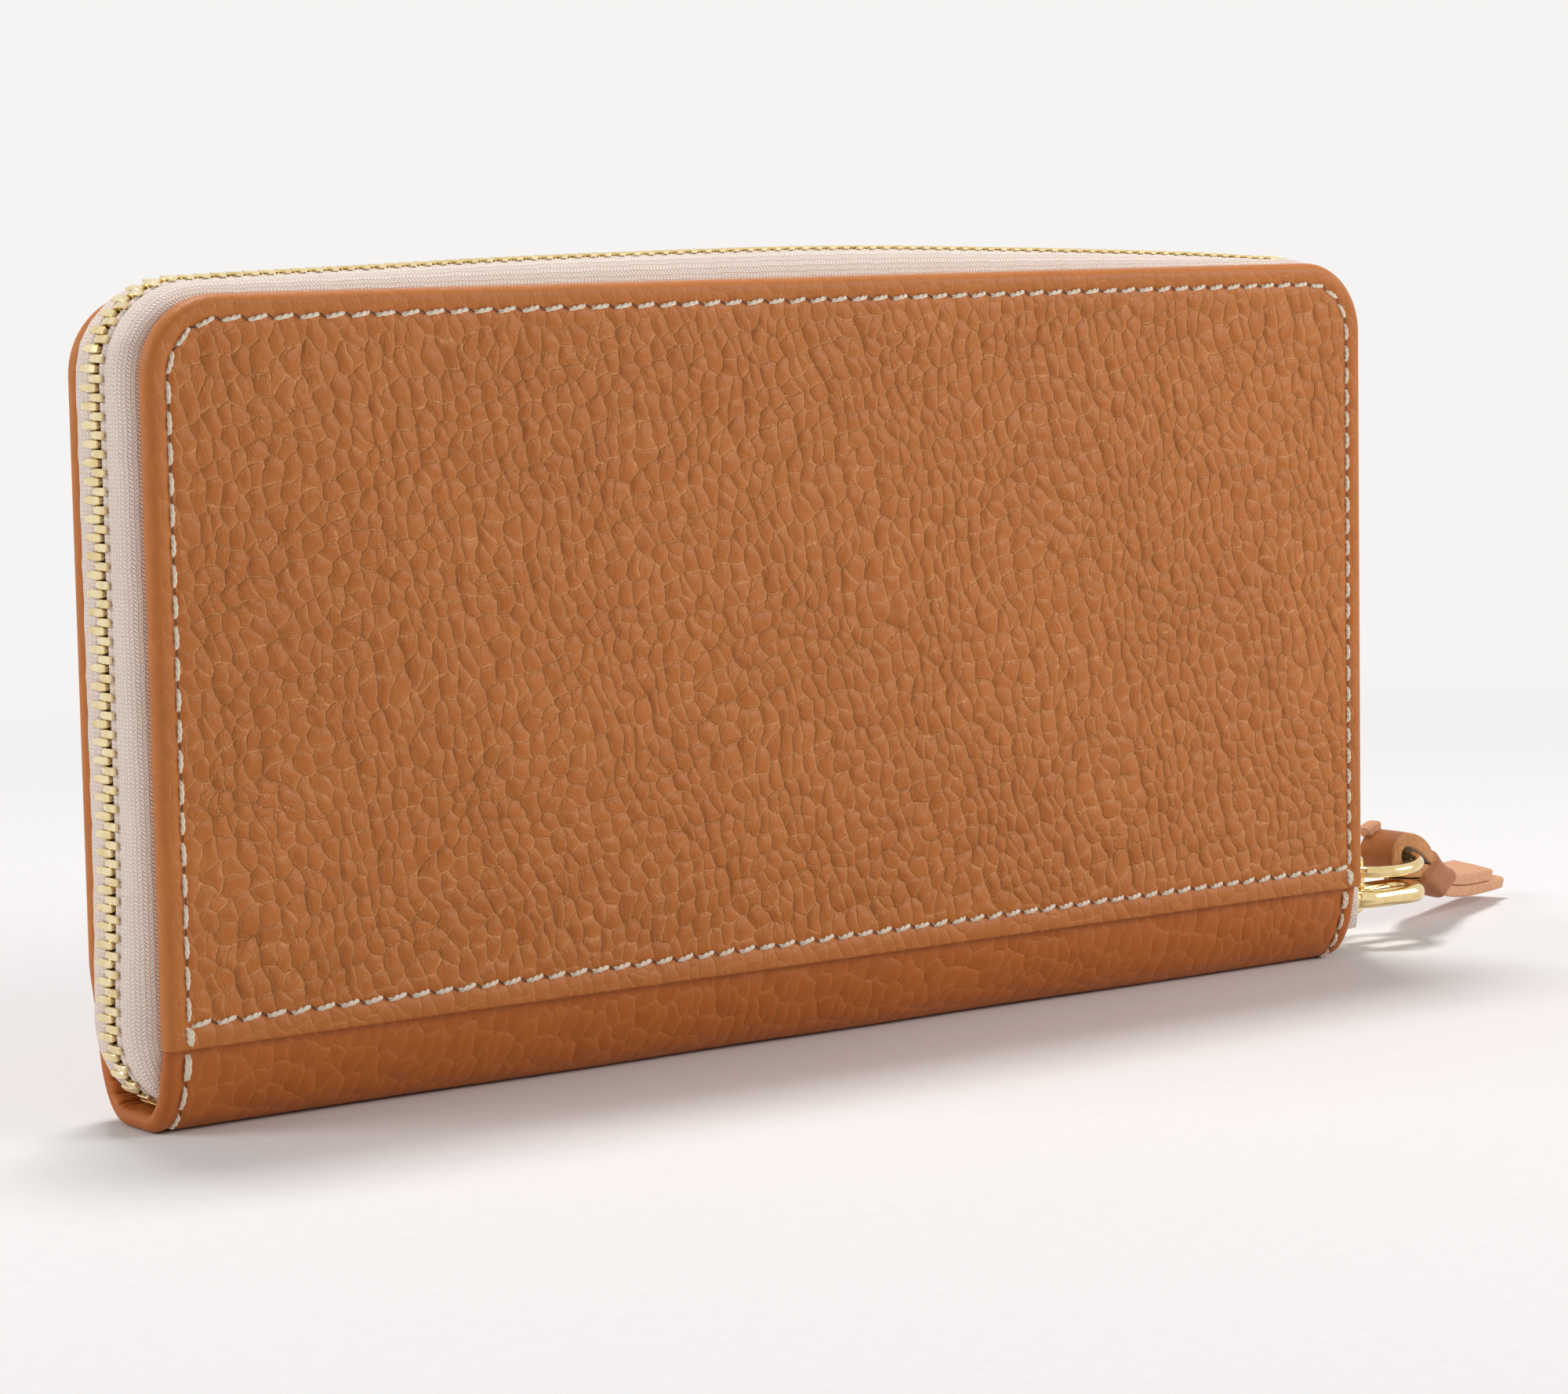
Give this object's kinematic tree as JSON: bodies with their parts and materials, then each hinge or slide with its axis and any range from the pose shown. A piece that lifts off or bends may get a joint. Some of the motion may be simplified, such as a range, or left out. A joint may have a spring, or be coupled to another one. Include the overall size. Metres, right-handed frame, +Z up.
{
  "type": "zip around wallet",
  "caption": "Leather zip around wallet standing on its spine, with hinged covers, a metal zip with ring and strap pull, card tiers, gussets and a zipped coin pocket.",
  "frame": {"origin": "middle of the flat underside of the spine, on the table", "axes": "+X along the width towards the end with the pull, -Y towards the pictured cover, +Z up"},
  "size_m": [0.2572, 0.0355, 0.104],
  "materials": {
    "leather": "pebbled tan leather, half matt",
    "strap_leather": "tan leather strap with pale cut edges",
    "pocket_leather": "thin smooth tan leather",
    "lining": "woven beige lining",
    "tape": "woven pinkish beige zip tape",
    "gold": "pale gold plated, polished",
    "board": "grey fibre board"
  },
  "bodies": {
    "spine": {"spine_base": "leather", "spine_lining": "lining", "zip_end_tape": "tape", "zip_end_teeth": "gold", "zip_bottom_stop": "gold", "gusset_front_left": "lining", "gusset_front_right": "lining", "gusset_back_left": "lining", "gusset_back_right": "lining", "coin_front_wall": "pocket_leather", "coin_back_wall": "pocket_leather", "coin_binding": "lining", "coin_zip_tape_front": "tape", "coin_zip_tape_back": "tape", "coin_zip_teeth_front": "gold", "coin_zip_teeth_back": "gold", "coin_zip_stops": "gold"},
    "front_cover": {"front_panel": "leather", "front_wrap": "leather", "front_board": "board", "front_lining": "lining", "front_pocket_panel": "pocket_leather", "front_card_tier_1": "pocket_leather", "front_card_tier_2": "pocket_leather", "front_card_tier_3": "pocket_leather", "front_zip_tape": "tape", "front_zip_teeth": "gold", "front_zip_teeth_right": "gold", "front_zip_teeth_low": "gold", "front_top_stop": "gold"},
    "back_cover": {"back_panel": "leather", "back_wrap": "leather", "back_board": "board", "back_lining": "lining", "back_pocket_panel": "pocket_leather", "back_card_tier_1": "pocket_leather", "back_card_tier_2": "pocket_leather", "back_card_tier_3": "pocket_leather", "back_zip_tape": "tape", "back_zip_teeth": "gold", "back_zip_teeth_right": "gold", "back_zip_teeth_low": "gold", "back_top_stop": "gold"},
    "zip_slider": {"zip_slider_body": "gold", "zip_slider_bail": "gold"},
    "pull_link": {"pull_link": "gold"},
    "pull_ring": {"pull_ring": "gold"},
    "pull_strap": {"pull_strap": "strap_leather", "pull_collar": "strap_leather"},
    "coin_slider": {"coin_slider_body": "gold", "coin_slider_bail": "gold"},
    "coin_tab": {"coin_pull_tab": "gold"}
  },
  "joints": [
    {"name": "front_cover_open", "type": "hinge", "parent": "spine", "child": "front_cover", "pos_m": [0, -0.0074, 0.00322], "axis": [1, 0, 0], "range_deg": [0, 25], "deforming": ["gusset_front_left", "gusset_front_right", "front_zip_teeth_low"]},
    {"name": "back_cover_open", "type": "hinge", "parent": "spine", "child": "back_cover", "pos_m": [0, 0.0074, 0.00322], "axis": [-1, 0, 0], "range_deg": [0, 25], "deforming": ["gusset_back_left", "gusset_back_right", "back_zip_teeth_low"]},
    {"name": "zip_slide", "type": "slide", "parent": "front_cover", "child": "zip_slider", "axis": [-0.0261, 0, 0.9997], "range_m": [0, 0.075], "deforming": ["front_zip_teeth_right", "back_zip_teeth_right"]},
    {"name": "link_swing", "type": "hinge", "parent": "zip_slider", "child": "pull_link", "pos_m": [0.10521, 0, 0.0074], "axis": [0, 1, 0], "range_deg": [-50, 1]},
    {"name": "ring_swing", "type": "hinge", "parent": "zip_slider", "child": "pull_ring", "pos_m": [0.10521, 0, 0.0119], "axis": [0, 1, 0], "range_deg": [-50, 1]},
    {"name": "strap_swing", "type": "hinge", "parent": "pull_ring", "child": "pull_strap", "pos_m": [0.11825, 0.00538, 0.0119], "axis": [-0.4067, 0.9135, 0], "range_deg": [-40, 1]},
    {"name": "coin_slide", "type": "slide", "parent": "spine", "child": "coin_slider", "axis": [-1, 0, 0], "range_m": [0, 0.125], "deforming": ["coin_zip_teeth_front", "coin_zip_teeth_back"]},
    {"name": "coin_tab_lift", "type": "hinge", "parent": "coin_slider", "child": "coin_tab", "pos_m": [0.066, 0, 0.08496], "axis": [0, 1, 0], "range_deg": [0, 75]}
  ],
  "couplings": [
    {"joint": "ring_swing", "follows": "link_swing", "ratio": 1}
  ]
}
